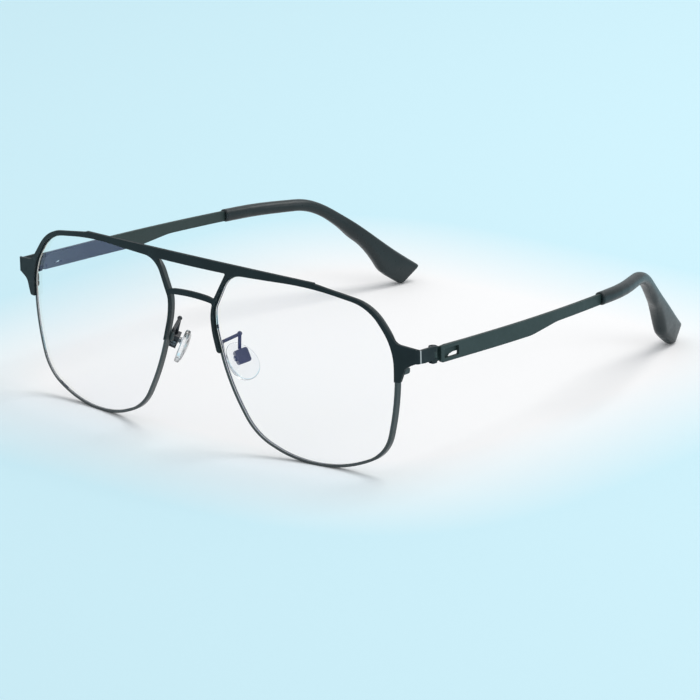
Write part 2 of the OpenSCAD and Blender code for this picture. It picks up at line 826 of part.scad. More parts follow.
module pad_screw() {
    half = box_s / 2 - 0.2;
    color("#5b6268") at_pad() difference() {
        rotate([90, 0, 0]) {
            translate([lug_x, 0, -half]) cylinder(r = pad_pin_r, h = 2 * half);
            translate([lug_x, 0, half + seat]) cylinder(r = pad_pin_head_r, h = pad_pin_head_h);
            translate([lug_x, 0, 0]) cylinder(r = pad_pin_r, h = half + pad_pin_head_h);
        }
        translate([lug_x - 1, -half - pad_pin_head_h - 1, -0.1]) cube([2, 1.15, 0.2]);
    }
}

arm_top = pad_place([box_gap + box_d / 2, 0, box_s / 2 + seat]);
arm_up = pad_place([box_gap + box_d / 2, 0, box_s / 2 + seat + 1.6]);
arm_foot_y = sag(lens_in + 1.5, pad_at.z, rim_back) + arm_r + seat;
arm_knots = [
    [lens_in + 2.2, arm_foot_y + 0.1, pad_at.z - 0.4],
    [lens_in + 1.75, arm_foot_y + 0.05, pad_at.z + 0.8],
    [lens_in + 0.95, arm_foot_y, pad_at.z + 3.4],
    [lens_in + 0.6, arm_foot_y + 0.7, pad_at.z + 5.2],
    [lens_in + 1.3, arm_foot_y + 2.6, pad_at.z + 6.25],
    [arm_up.x - 0.1, arm_up.y - 0.15, pad_at.z + 5.75],
    arm_up,
    arm_top
];

// A smooth curve through the knots
function through_knots(k, steps) =
    let (n = len(k))
    concat(
        [for (j = [0:n - 2]) for (i = [0:steps - 1])
            let (
                t = i / steps,
                a = j == 0 ? 2 * k[0] - k[1] : k[j - 1],
                b = k[j],
                c = k[j + 1],
                d = j == n - 2 ? 2 * k[n - 1] - k[n - 2] : k[j + 2]
            )
            0.5 * (2 * b + (c - a) * t + (2 * a - 5 * b + 4 * c - d) * t * t
                + (3 * b - a - 3 * c + d) * t * t * t)],
        [k[n - 1]]
    );

module pad_arm() {
    path = through_knots(arm_knots, 4);
    n = len(path) - 1;
    sides = 12;
    color("#23282c") skin([for (i = [0:n])
        let (
            run = i == n ? arm_top - arm_up : path[i + 1] - path[max(0, i - 1)],
            u = unit(cross([1, 0, 0], run)),
            v = unit(cross(run, u))
        )
        [for (a = [0:sides - 1]) path[i] + arm_r * (cos(a * 360 / sides) * u + sin(a * 360 / sides) * v)]]);
}

front_plate();
left() rim();  // rim_left
right() rim();  // rim_right
left() lens();  // lens_left
right() lens();  // lens_right
left() lock_half(true);  // rim_lock_upper_left
right() lock_half(true);  // rim_lock_upper_right
left() lock_half(false);  // rim_lock_lower_left
right() lock_half(false);  // rim_lock_lower_right
left() lock_screw();  // rim_screw_left
right() lock_screw();  // rim_screw_right
left() pad_arm();  // pad_arm_left
right() pad_arm();  // pad_arm_right
left() pad_box();  // pad_box_left
right() pad_box();  // pad_box_right
left() pad_screw();  // pad_screw_left
right() pad_screw();  // pad_screw_right
left() pad_insert();  // pad_insert_left
right() pad_insert();  // pad_insert_right
left() nose_pad();  // nose_pad_left
right() nose_pad();  // nose_pad_right
left() hinge_leaf();  // hinge_leaf_left
right() hinge_leaf();  // hinge_leaf_right
left() hinge_screw();  // hinge_screw_left
right() hinge_screw();  // hinge_screw_right
left() temple();  // temple_left
right() temple();  // temple_right
left() temple_tip();  // temple_tip_left
right() temple_tip();  // temple_tip_right
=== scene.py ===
"""Eyeglass frame with a double bridge: finishes, pads, arms, tips, floor, light and camera.

Metres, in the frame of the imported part: X across the face, the front faces -Y, Z is up, and the
frame rests on z = 0. Left is the wearer's left, at +X. Names that end in _MM hold millimetres.
"""

import json
import math

import bmesh
import bpy
from mathutils import Matrix, Vector


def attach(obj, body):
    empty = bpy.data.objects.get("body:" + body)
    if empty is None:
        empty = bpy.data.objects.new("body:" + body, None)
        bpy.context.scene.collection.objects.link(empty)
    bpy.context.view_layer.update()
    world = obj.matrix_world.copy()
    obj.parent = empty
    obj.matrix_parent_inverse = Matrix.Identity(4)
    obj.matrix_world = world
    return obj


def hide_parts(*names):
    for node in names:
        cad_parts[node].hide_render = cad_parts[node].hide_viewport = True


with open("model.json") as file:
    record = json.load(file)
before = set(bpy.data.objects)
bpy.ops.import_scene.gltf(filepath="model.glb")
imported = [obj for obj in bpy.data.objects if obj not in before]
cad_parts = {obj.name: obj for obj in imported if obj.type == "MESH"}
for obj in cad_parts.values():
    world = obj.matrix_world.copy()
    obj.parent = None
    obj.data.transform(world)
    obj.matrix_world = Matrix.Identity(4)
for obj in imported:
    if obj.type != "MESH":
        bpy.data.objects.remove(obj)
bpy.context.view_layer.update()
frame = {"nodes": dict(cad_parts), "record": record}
NODES = frame["nodes"]
MM = 0.001
SIDES = {"left": 1, "right": -1}

# Foremost place of the front's curve, which other places are measured from
FRONT_Y = -75.979 * MM

# Camera: long lens, found from the vanishing points and the mirrored features of the frame
VIEW_AZIMUTH = 40.893
VIEW_ELEVATION = 17.581
VIEW_ROLL = -1.291
VIEW_DISTANCE = 1409.614 * MM
VIEW_TARGET = Vector((56.468 * MM, FRONT_Y, 36.651 * MM))
VIEW_CLIP = (0.05, 50)
FOCAL_MM = 277.714
SENSOR_MM = 36

# Light: the world, and the lamps as (name, place, size, power, colour)
WORLD_COLOUR = (0.84, 0.87, 0.89, 1)
WORLD_STRENGTH = 0.79
LAMPS = [
    ("key", (0.25, 0.6, 1.25), 0.8, 8.0, (1.0, 0.985, 0.965)),
    ("side", (1.7, 0.1, 0.8), 0.9, 5.0, (0.96, 0.98, 1.0)),
]

# Floor: its half size and its two paints, then the middle of the white one, where it fades into
# the blue one, and the power that rounds the corners of its square
FLOOR_HALF = 6.0
FLOOR_WHITE = (0.925, 0.915, 0.915, 1)
FLOOR_BLUE = (0.59, 0.825, 0.90, 1)
WHITE_MIDDLE = (-0.01, 0.006)
WHITE_EDGE = (0.074, 0.125)
WHITE_POWER = 4.0

# Most values of a noise lie in this range
NOISE_RANGE = (0.3, 0.7)

# Nose pads, in their own frame: X away from the nose, Z up along the pad
PAD_AT = Vector((11.6 * MM, FRONT_Y + 8.45 * MM, 23.2 * MM))
PAD_TURN = math.radians(16)
PAD_LEAN = math.radians(27)
PAD_SPLAY = math.radians(30)
PAD_LENGTH = 11.2 * MM
PAD_WIDTH = 7.9 * MM
PAD_THICK = 2.2 * MM
PAD_CROWN = 16 * MM
PAD_EGG = 0.14
PAD_TURNS = 72

# Pad's rim: the radius of its roundings, the depth of their middles toward the nose and toward
# the arm, the least depth of the crowned face, and the points along each rounding
LIP = 0.55 * MM
LIP_NOSE = 0.95 * MM
LIP_ARM = 0.6 * MM
FACE_DEPTH = 0.8 * MM
LIP_STEPS = 8

# Shallow dish in the pad's back, as (share of the outline, depth)
PAD_DISH = [(0.86, 0.05 * MM), (0.8, 0.22 * MM), (0.5, 0.22 * MM)]

# Metal core that the pad is moulded round: its middle, the rows of its plate and of its lug as
# (place along X, reach), its width as a share of its height, and the points round it
CORE_AT = Vector((11.25 * MM, FRONT_Y + 8.05 * MM, 24.6 * MM))
CORE_PLATE_MM = [(-0.62, 0.66), (-0.5, 0.82), (-0.28, 0.86), (-0.2, 0.8)]
CORE_LUG_MM = [(-0.16, 0.72), (0.3, 0.7), (1.0, 0.66), (1.1, 0.56)]
CORE_NARROW = 0.92
CORE_TURNS = 32

# Pad arm, from its foot behind the rim over the ball at its bend to the top of the pad box
ARM_FOOT = Vector((9.75, -72.87, 25.9)) * MM
ARM_KNEE = Vector((8.95, -72.87, 29.2)) * MM
ARM_BALL = Vector((11.1, -67.9, 30.7)) * MM
ARM_TOP = Vector((11.68, -68.8, 26.8)) * MM
ARM_R = 0.47 * MM
ARM_FOOT_R = 0.8 * ARM_R
ARM_BEND = 0.7 * MM
ARM_TURNS = 20
BALL_R = 0.68 * MM
BALL_LIFT = Vector((0, 0, 0.1 * MM))
BALL_ROWS = 11

# Braze at the arm's foot: its shift from the wire, its start and length as shares of the foot,
# its least radius, how far and how bluntly it swells, and the height and pace of its waves
BRAZE_SHIFT = Vector((-0.12, -0.3, 0)) * MM
BRAZE_START = 0.04
BRAZE_LENGTH = 0.84
BRAZE_LEAST_MM = 0.16
BRAZE_SWELL_MM = 0.44
BRAZE_BLUNT = 0.6
BRAZE_WAVE_MM = 0.03
BRAZE_PACE = 9
BRAZE_ROWS = 13
BRAZE_TURNS = 18

# A direction that no wire runs along, from which the first point of each ring is found
RING_ASIDE = Vector((0.3, 0.9, 0.2))

# Tip: the grain and the smoothing of its skin, where its mouth and its end are along Y, over
# what length the crown of its faces fades there, how high that crown is, and the least width
TIP_GRAIN_MM = 0.24
TIP_PASSES = 8
TIP_MOUTH_MM = 14.2
TIP_END_MM = 76.2
TIP_FADE_MM = 6.0
TIP_CROWN_MM = 0.28
TIP_LEAST_MM = 0.1

# Tip's leg, each as (start along Y, end, height): the swelling of its inner face, and the
# fullness of its outer lower and its inner upper edge
LEG_SWELL_MM = (45.0, 76.0, 0.9)
THROAT_FILL_MM = (50.0, 62.0, 1.2)
NAPE_FILL_MM = (44.0, 70.0, 1.0)

# Share of the leg's swelling at the edges of its inner face, and how far past the middle of the
# section it starts
SWELL_AT_EDGE = 0.45
SWELL_START = 0.1

# Inner sheet of the hinge leaf, between two depths in X: its shoulder beside the barrels and its
# tongue behind the window, as outlines in (Y, Z)
LEAF_OUT_MM = 71.08
LEAF_IN_MM = 70.4
TONGUE_SHIFT_MM = (-0.02, 0.1)
SHOULDER_MM = [(-58.2, 31.75), (-57.1, 31.75), (-57.1, 35.7), (-58.2, 35.7)]
TONGUE_MM = [
    (-56.6, 31.9),
    (-53.9, 31.75),
    (-53.1, 32.55),
    (-49.8, 33.15),
    (-49.6, 35.0),
    (-56.6, 35.3),
]

# Where the end piece folds back, with a painted highlight down its bend: how far out its side is,
# its place along Y and half its width
FOLD_HIGHLIGHT_MM = (71.75, -65.75, 0.3)

# Radius to which the edges of each family of nodes are broken
EDGES_MM = {
    "front_plate": 0.09,
    "temple": 0.1,
    "hinge_leaf": 0.08,
    "rim_lock": 0.08,
    "pad_box": 0.1,
    "rim": 0.07,
    "hinge_screw": 0.05,
    "rim_screw": 0.05,
    "pad_screw": 0.05,
    "pad_insert": 0.06,
}
BUILT_EDGE_MM = 0.06
WELD_MM = 0.002

# Edges sharper than the first stay sharp to the eye, and those over the second are broken
CREASE_ANGLE = math.radians(32)
BREAK_ANGLE = math.radians(40)


# Materials


class Shader:
    """A node material, with short calls for the nodes that the finishes share."""

    def __init__(self, name):
        self.material = bpy.data.materials.new(name)
        self.material.use_nodes = True
        self.tree = self.material.node_tree
        self.tree.nodes.clear()
        self.output = self.tree.nodes.new("ShaderNodeOutputMaterial")
        self.place = self.node("ShaderNodeTexCoord").outputs["Object"]

    def node(self, kind, values=None, **settings):
        made = self.tree.nodes.new(kind)
        for key, value in settings.items():
            setattr(made, key, value)
        for key, value in (values or {}).items():
            self.feed(made.inputs[key], value)
        return made

    def feed(self, socket, value):
        if isinstance(value, bpy.types.NodeSocket):
            self.tree.links.new(value, socket)
        else:
            socket.default_value = value

    def noise(self, grain_mm, detail=2.0, rough=0.5, place=None):
        """Noise whose features are about grain_mm across."""
        values = {
            "Vector": place or self.place,
            "Scale": 1 / (grain_mm * MM),
            "Detail": detail,
            "Roughness": rough,
        }
        return self.node("ShaderNodeTexNoise", values).outputs["Fac"]

    def ramp(self, factor, low, high, start=0.0, end=1.0):
        """Remaps factor from start..end to low..high, which are numbers or colours."""
        if not isinstance(low, (int, float)):
            return self.mixed(self.ramp(factor, 0.0, 1.0, start, end), low, high)
        values = {
            "Value": factor,
            "From Min": start,
            "From Max": end,
            "To Min": low,
            "To Max": high,
        }
        return self.node("ShaderNodeMapRange", values).outputs["Result"]

    def mixed(self, factor, low, high):
        """The colour that lies a factor of the way from low to high."""
        made = self.node("ShaderNodeMix", data_type="RGBA")
        self.feed(made.inputs["Factor"], factor)
        self.feed(made.inputs[6], low)
        self.feed(made.inputs[7], high)
        return made.outputs[2]

    def math(self, operation, first, second=0.0):
        return self.node("ShaderNodeMath", {0: first, 1: second}, operation=operation).outputs[0]

    def parts(self):
        """X, Y and Z of the place on the object."""
        return self.node("ShaderNodeSeparateXYZ", {0: self.place}).outputs

    def bump(self, height, depth_mm, strength=1.0, normal=None):
        values = {"Height": height, "Distance": depth_mm * MM, "Strength": strength}
        if normal is not None:
            values["Normal"] = normal
        return self.node("ShaderNodeBump", values).outputs["Normal"]

    def rounded_edge(self, radius_mm):
        """The normal, softened along the edges as a coating softens them."""
        return self.node("ShaderNodeBevel", {"Radius": radius_mm * MM}, samples=6).outputs[0]

    def edge_share(self, radius_mm):
        """1 on the edges of a piece, and 0 away from them."""
        soft = self.rounded_edge(radius_mm)
        flat = self.node("ShaderNodeNewGeometry").outputs["Normal"]
        dot = self.node("ShaderNodeVectorMath", {0: soft, 1: flat}, operation="DOT_PRODUCT")
        return self.ramp(dot.outputs["Value"], 1.0, 0.0, start=0.75, end=1.0)

    def crease(self, reach_mm, y_mm, half_mm):
        """1 along the upright line of a fold, on the faces further out than reach_mm: where the
        fold's highlight is painted.
        """
        part = self.parts()
        out = self.math("ABSOLUTE", part["X"])
        outer = self.ramp(out, 0.0, 1.0, start=(reach_mm - 0.15) * MM, end=reach_mm * MM)
        off = self.math("ABSOLUTE", self.math("SUBTRACT", part["Y"], y_mm * MM))
        near = self.ramp(off, 1.0, 0.0, start=half_mm * 0.4 * MM, end=half_mm * MM)
        return self.math("MULTIPLY", outer, near)

    def principled(self, values):
        return self.node("ShaderNodeBsdfPrincipled", values)

    def finish(self, shader):
        self.tree.links.new(shader, self.output.inputs["Surface"])
        return self.material


def grey(level):
    return (level, level, level, 1.0)


def coating(name, dark, light, rough, shine, worn, crease=None):
    """Sprayed and baked coating on sheet metal: fine orange peel, cloudy tone, paler edges that
    are partly wear and partly a painted highlight, and where given a painted highlight down a
    fold.
    """
    s = Shader(name)
    primer_and_gleam_grey, fold_highlight_grey = grey(0.42), grey(0.5)
    cloud = s.noise(grain_mm=9.0, detail=3.0, rough=0.55)
    speck = s.noise(grain_mm=0.22, detail=2.0, rough=0.6)
    peel = s.noise(grain_mm=0.55, detail=3.0, rough=0.5)
    colour = s.ramp(cloud, dark, light, start=0.3, end=0.72)
    colour = s.mixed(s.ramp(speck, 0.0, 0.35, start=0.45, end=0.75), colour, light)
    # Paler edges: partly wear through the paint, partly a painted highlight where the edges catch
    # light
    rubbed_and_gleam = s.math("MULTIPLY", s.edge_share(radius_mm=0.12), worn)
    colour = s.mixed(rubbed_and_gleam, colour, primer_and_gleam_grey)
    # Painted highlight: a pale grey line down the fold's bend, where it catches the lamp
    if crease is not None:
        colour = s.mixed(s.crease(*crease), colour, fold_highlight_grey)
    dull = s.noise(grain_mm=1.6, detail=4.0, rough=0.6)
    roughness = s.ramp(dull, rough - 0.05, rough + 0.07, *NOISE_RANGE)
    normal = s.bump(peel, depth_mm=0.012, strength=0.5)
    normal = s.bump(speck, depth_mm=0.006, strength=0.5, normal=normal)
    values = {
        "Base Color": colour,
        "Roughness": roughness,
        "Normal": normal,
        "Specular IOR Level": shine,
        "Metallic": 0.0,
    }
    return s.finish(s.principled(values).outputs[0])


def steel(name, colour, rough, brushed_along):
    """Turned or stamped metal with fine lines across one axis."""
    s = Shader(name)
    stretch = Vector((1.0, 1.0, 1.0))
    stretch[brushed_along] = 0.05
    mapping = s.node("ShaderNodeMapping", {"Vector": s.place, "Scale": stretch})
    place = mapping.outputs["Vector"]
    lines = s.noise(grain_mm=0.05, detail=2.0, rough=0.6, place=place)
    tone = [c * 0.72 for c in colour[:3]] + [1.0]
    shade = s.ramp(lines, tone, colour, *NOISE_RANGE)
    roughness = s.ramp(lines, rough, rough + 0.14, *NOISE_RANGE)
    normal = s.bump(lines, depth_mm=0.004, strength=0.4)
    values = {"Base Color": shade, "Roughness": roughness, "Normal": normal, "Metallic": 1.0}
    return s.finish(s.principled(values).outputs[0])


def moulded(name, dark, light, rough):
    """Injection moulded tip: satin skin with fine spark erosion grain and faint sink marks."""
    s = Shader(name)
    grain = s.noise(grain_mm=0.18, detail=3.0, rough=0.6)
    cloud = s.noise(grain_mm=14.0, detail=2.0, rough=0.5)
    colour = s.ramp(cloud, dark, light, *NOISE_RANGE)
    dull = s.noise(grain_mm=0.9, detail=3.0, rough=0.6)
    roughness = s.ramp(dull, rough - 0.04, rough + 0.08, *NOISE_RANGE)
    soft = s.rounded_edge(radius_mm=1.1)
    normal = s.bump(grain, depth_mm=0.01, strength=0.45, normal=soft)
    sink = s.noise(grain_mm=6.0, detail=1.0, rough=0.5)
    normal = s.bump(sink, depth_mm=0.05, strength=0.25, normal=normal)
    values = {
        "Base Color": colour,
        "Roughness": roughness,
        "Normal": normal,
        "Specular IOR Level": 0.36,
    }
    return s.finish(s.principled(values).outputs[0])


def clear(name, tint, tint_far, ior, rough, haze_mm, rim=None, sheen=None):
    """Clear solid with a faint, uneven tint, which lets lamps through, and where a rim colour is
    given, painted shade that darkens it where its surface turns from view.
    """
    s = Shader(name)
    haze = s.noise(grain_mm=haze_mm, detail=1.0, rough=0.4)
    colour = s.ramp(haze, tint, tint_far, *NOISE_RANGE)
    if rim is not None:
        # Painted shade: toward the outline, where the surface turns from view, the tint darkens
        # to rim
        turned = s.node("ShaderNodeLayerWeight", {"Blend": 0.5}).outputs["Facing"]
        colour = s.mixed(s.ramp(turned, 0.0, 1.0, start=0.32, end=0.8), colour, rim)
    values = {"Base Color": colour, "Roughness": rough, "IOR": ior, "Transmission Weight": 1.0}
    if sheen is not None:
        values["Specular Tint"] = sheen
    glass = s.principled(values).outputs[0]
    lamps = s.node("ShaderNodeBsdfTransparent", {"Color": (0.93, 0.95, 0.97, 1.0)}).outputs[0]
    path = s.node("ShaderNodeLightPath").outputs
    straight = s.math("MAXIMUM", path["Is Shadow Ray"], path["Is Diffuse Ray"])
    return s.finish(s.node("ShaderNodeMixShader", {0: straight, 1: glass, 2: lamps}).outputs[0])


FINISHES = {
    # The front and the temples carry one paint; the front's colours are made darker as painted
    # shade on its faces turned from the lamps
    "front_coating": coating(
        "front_coating",
        dark=(0.007, 0.014, 0.016, 1),
        light=(0.012, 0.022, 0.025, 1),
        rough=0.46,
        shine=0.2,
        worn=0.06,
        crease=FOLD_HIGHLIGHT_MM,
    ),
    "rim_coating": coating(
        "rim_coating",
        dark=(0.026, 0.036, 0.037, 1),
        light=(0.044, 0.056, 0.058, 1),
        rough=0.34,
        shine=0.5,
        worn=0.18,
    ),
    "temple_coating": coating(
        "temple_coating",
        dark=(0.020, 0.037, 0.035, 1),
        light=(0.028, 0.047, 0.046, 1),
        rough=0.48,
        shine=0.3,
        worn=0.1,
    ),
    "pad_metal": coating(
        "pad_metal",
        dark=(0.012, 0.014, 0.018, 1),
        light=(0.024, 0.028, 0.034, 1),
        rough=0.34,
        shine=0.45,
        worn=0.2,
    ),
    "pad_core": steel("core_metal", (0.62, 0.64, 0.67, 1), rough=0.22, brushed_along=2),
    "screw": steel("screw_metal", (0.16, 0.18, 0.20, 1), rough=0.28, brushed_along=2),
    "tip": moulded(
        "tip_plastic",
        dark=(0.008, 0.016, 0.018, 1),
        light=(0.013, 0.024, 0.027, 1),
        rough=0.3,
    ),
    "pad": clear(
        "silicone",
        tint=grey(0.98),
        tint_far=(0.94, 0.96, 0.98, 1),
        ior=1.41,
        rough=0.05,
        haze_mm=3.0,
        # Painted shade along the pad's outline
        rim=grey(0.12),
    ),
    "lens": clear(
        "lens_glass",
        tint=(0.985, 0.985, 0.995, 1),
        tint_far=(0.975, 0.985, 0.99, 1),
        ior=1.56,
        rough=0.0,
        haze_mm=30.0,
        sheen=(0.26, 0.22, 0.92, 1.0),
    ),
}


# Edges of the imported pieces


def smooth_group():
    """Shades a mesh smooth except across its sharper edges."""
    group = bpy.data.node_groups.new("smooth_by_angle", "GeometryNodeTree")
    group.interface.new_socket("Mesh", in_out="INPUT", socket_type="NodeSocketGeometry")
    group.interface.new_socket("Mesh", in_out="OUTPUT", socket_type="NodeSocketGeometry")
    start, end = group.nodes.new("NodeGroupInput"), group.nodes.new("NodeGroupOutput")
    angle = group.nodes.new("GeometryNodeInputMeshEdgeAngle")
    gentle = group.nodes.new("FunctionNodeCompare")
    gentle.operation = "LESS_THAN"
    gentle.inputs[1].default_value = CREASE_ANGLE
    faces = group.nodes.new("GeometryNodeSetShadeSmooth")
    edges = group.nodes.new("GeometryNodeSetShadeSmooth")
    edges.domain = "EDGE"
    group.links.new(angle.outputs["Unsigned Angle"], gentle.inputs[0])
    group.links.new(gentle.outputs[0], edges.inputs["Shade Smooth"])
    group.links.new(start.outputs[0], faces.inputs[0])
    group.links.new(faces.outputs[0], edges.inputs[0])
    group.links.new(edges.outputs[0], end.inputs[0])
    return group


SMOOTH = smooth_group()


def soften(piece, radius_mm):
    """Joins a piece's faces and breaks its sharp edges, with its broad faces kept flat."""
    weld = piece.modifiers.new("weld", "WELD")
    weld.merge_threshold = WELD_MM * MM
    bevel = piece.modifiers.new("broken_edges", "BEVEL")
    bevel.limit_method = "ANGLE"
    bevel.angle_limit = BREAK_ANGLE
    bevel.width = radius_mm * MM
    bevel.segments = 2
    piece.modifiers.new("smooth", "NODES").node_group = SMOOTH
    flat = piece.modifiers.new("flat_faces", "WEIGHTED_NORMAL")
    flat.keep_sharp = True
    flat.weight = 50


def dress_nodes():
    """Every CAD node that shows takes the finish of its slot, and edges like the real one's."""
    for part in frame["record"]["subparts"]:
        piece = NODES[part["node"]]
        piece.data.materials.clear()
        piece.data.materials.append(FINISHES[part["material_slot"]])
        family = part["node"].replace("_left", "").replace("_right", "")
        family = family.replace("_upper", "").replace("_lower", "")
        if family in EDGES_MM:
            soften(piece, EDGES_MM[family])


# Built pieces


def show(name, data):
    """A new object in the scene."""
    made = bpy.data.objects.new(name, data)
    bpy.context.scene.collection.objects.link(made)
    return made


def mesh_piece(name, points, faces, body, slot, smooth=True):
    """A closed piece whose faces point outward, on its body and with its slot's finish."""
    mesh = bpy.data.meshes.new(name)
    mesh.from_pydata([tuple(p) for p in points], [], faces)
    mesh.validate()
    outward = bmesh.new()
    outward.from_mesh(mesh)
    bmesh.ops.recalc_face_normals(outward, faces=outward.faces)
    outward.to_mesh(mesh)
    outward.free()
    if smooth:
        mesh.polygons.foreach_set("use_smooth", [True] * len(mesh.polygons))
    piece = show(name, mesh)
    mesh.materials.append(FINISHES[slot])
    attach(piece, body)
    return piece


def mirrored(place, side):
    """A place of the left half, on the half that side names."""
    return Vector((place.x * side, place.y, place.z))


def ring_faces(rows, turns):
    """Faces of a closed form of rows of points, with a cap on each end."""
    faces = []
    for row in range(rows - 1):
        for k in range(turns):
            a, b = row * turns + k, row * turns + (k + 1) % turns
            faces.append((a, b, b + turns, a + turns))
    last = (rows - 1) * turns
    faces.append(tuple(reversed(range(turns))))
    faces.append(tuple(range(last, last + turns)))
    return faces


def pad_place(point, side):
    """A place in the pad's own frame, as a place on the object."""
    x = point[0] * math.cos(PAD_SPLAY) + point[1] * math.sin(PAD_SPLAY)
    y = point[1] * math.cos(PAD_SPLAY) - point[0] * math.sin(PAD_SPLAY)
    across = x * math.cos(PAD_LEAN) - point[2] * math.sin(PAD_LEAN)
    up = x * math.sin(PAD_LEAN) + point[2] * math.cos(PAD_LEAN)
    return mirrored(PAD_AT + Vector((across, y, up)), side)


def pad_outline(angle):
    """The pad's egg shaped outline, wider at its foot."""
    width = PAD_WIDTH / 2 * math.cos(angle) * (1 - PAD_EGG * math.sin(angle))
    height = PAD_LENGTH / 2 * math.sin(angle)
    across = width * math.cos(PAD_TURN) - height * math.sin(PAD_TURN)
    return across, width * math.sin(PAD_TURN) + height * math.cos(PAD_TURN)


def pad_profile():
    """Rows as (share of the outline, inset, X), from the crown's middle to the pad's back.

    Rows on the crown have None for X, because the crown itself says how far out they are.
    """
    rows = [(share / 10, 0.0, None) for share in range(1, 9)]
    for i in range(LIP_STEPS + 1):
        angle = math.pi / 2 * i / LIP_STEPS
        rows.append((1.0, LIP * (1 - math.sin(angle)), -LIP_NOSE - LIP * math.cos(angle)))
    for i in range(1, LIP_STEPS + 1):
        angle = math.pi / 2 * i / LIP_STEPS
        rows.append((1.0, LIP * (1 - math.cos(angle)), -LIP_ARM + LIP * math.sin(angle)))
    return rows + [(share, LIP, -depth) for share, depth in PAD_DISH]


def nose_pad(side_name):
    """Clear soft pad: crowned toward the nose, with a rounded rim and a shallow dish behind."""
    side = SIDES[side_name]
    points = []
    rows = pad_profile()
    for share, inset, along in rows:
        for k in range(PAD_TURNS):
            width, height = pad_outline(2 * math.pi * k / PAD_TURNS)
            size = math.hypot(width, height)
            shrink = share * (size - inset) / size
            y, z = width * shrink, height * shrink
            crown = -PAD_THICK + (y * y + z * z) / (2 * PAD_CROWN)
            x = min(-FACE_DEPTH, crown) if along is None else along
            points.append(pad_place((x, y, z), side))
    faces = ring_faces(len(rows), PAD_TURNS)
    pad = mesh_piece(f"clear_pad_{side_name}", points, faces, f"{side_name}_pad", "pad")
    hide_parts(f"nose_pad_{side_name}")


def pad_core(side_name):
    """Pressed metal core in the pad: a rounded plate with the lug that sits in the pad box."""
    side = SIDES[side_name]
    shift = mirrored(CORE_AT - PAD_AT, side)
    rows = CORE_PLATE_MM + CORE_LUG_MM
    points = []
    for along, size in rows:
        for k in range(CORE_TURNS):
            angle = 2 * math.pi * k / CORE_TURNS
            blunt = (abs(math.cos(angle)) ** 4 + abs(math.sin(angle)) ** 4) ** -0.25
            reach = size * blunt * MM
            y, z = reach * CORE_NARROW * math.cos(angle), reach * math.sin(angle)
            points.append(pad_place((along * MM, y, z), side) + shift)
    faces = ring_faces(len(rows), CORE_TURNS)
    name, body = f"pad_core_{side_name}", f"{side_name}_pad"
    core = mesh_piece(name, points, faces, body, "pad_core", smooth=False)
    soften(core, BUILT_EDGE_MM)
    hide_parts(f"pad_insert_{side_name}")


def rounded_path(corners, radius, steps=6):
    """A line through the corners, with each inner corner rounded."""
    path = [corners[0]]
    for before, corner, after in zip(corners, corners[1:], corners[2:]):
        start = corner + (before - corner).normalized() * radius
        end = corner + (after - corner).normalized() * radius
        for i in range(steps + 1):
            t = i / steps
            path.append(start * (1 - t) ** 2 + corner * 2 * t * (1 - t) + end * t * t)
    return path + [corners[-1]]


def rings(centres, radii, runs, turns):
    """Points and faces of a closed round form, ring by ring."""
    points = []
    first = runs[0].normalized().cross(RING_ASIDE).normalized()
    for centre, radius, run in zip(centres, radii, runs):
        first = (first - run * first.dot(run)).normalized()
        second = run.cross(first)
        for k in range(turns):
            angle = 2 * math.pi * k / turns
            spoke = first * math.cos(angle) + second * math.sin(angle)
            points.append(centre + spoke * radius)
    return points, ring_faces(len(centres), turns)


def pad_arm(side_name):
    """Bent wire with a pressed ball at its bend and a narrower end at its foot."""
    side = SIDES[side_name]
    corners = [mirrored(place, side) for place in (ARM_FOOT, ARM_KNEE, ARM_BALL, ARM_TOP)]
    path = rounded_path(corners, ARM_BEND)
    neighbours = zip([path[0]] + path, path[1:] + [path[-1]])
    runs = [(after - before).normalized() for before, after in neighbours]
    radii = [ARM_FOOT_R] + [ARM_R] * (len(path) - 1)
    points, faces = rings(path, radii, runs, ARM_TURNS)
    ball = corners[2] + BALL_LIFT
    up = (corners[1] - corners[2]).normalized()
    angles = [math.pi * (i + 0.5) / BALL_ROWS for i in range(BALL_ROWS)]
    centres = [ball - up * BALL_R * math.cos(a) for a in angles]
    radii = [BALL_R * math.sin(a) for a in angles]
    more, extra = rings(centres, radii, [up] * BALL_ROWS, ARM_TURNS)
    faces += [tuple(i + len(points) for i in face) for face in extra]
    arm = mesh_piece(f"wire_arm_{side_name}", points + more, faces, "front", "pad_metal")
    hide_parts(f"pad_arm_{side_name}")


def braze(side_name):
    """Run-out of the braze that holds the arm's foot to the rim."""
    side = SIDES[side_name]
    run = ARM_KNEE - ARM_FOOT
    centres, radii = [], []
    for i in range(BRAZE_ROWS):
        t = i / (BRAZE_ROWS - 1)
        place = ARM_FOOT + run * (BRAZE_START + BRAZE_LENGTH * t) + BRAZE_SHIFT
        centres.append(mirrored(place, side))
        swell = BRAZE_SWELL_MM * math.sin(math.pi * t) ** BRAZE_BLUNT
        wave = BRAZE_WAVE_MM * math.sin(BRAZE_PACE * t)
        radii.append((BRAZE_LEAST_MM + swell + wave) * MM)
    along = (centres[-1] - centres[0]).normalized()
    points, faces = rings(centres, radii, [along] * BRAZE_ROWS, BRAZE_TURNS)
    mesh_piece(f"braze_{side_name}", points, faces, "front", "rim_coating")


def leaf_sheet(kind, outline, x_out, x_in, side_name):
    """A flat strip of the hinge leaf: its outline as (y, z), between two depths in X."""
    side = SIDES[side_name]
    points = [Vector((x * side, y, z)) * MM for x in (x_out, x_in) for y, z in outline]
    n = len(outline)
    faces = [tuple(range(n)), tuple(reversed(range(n, 2 * n)))]
    faces += [(i, (i + 1) % n, (i + 1) % n + n, i + n) for i in range(n)]
    name, body = f"{kind}_{side_name}", f"{side_name}_temple"
    soften(mesh_piece(name, points, faces, body, "temple_coating"), BUILT_EDGE_MM)


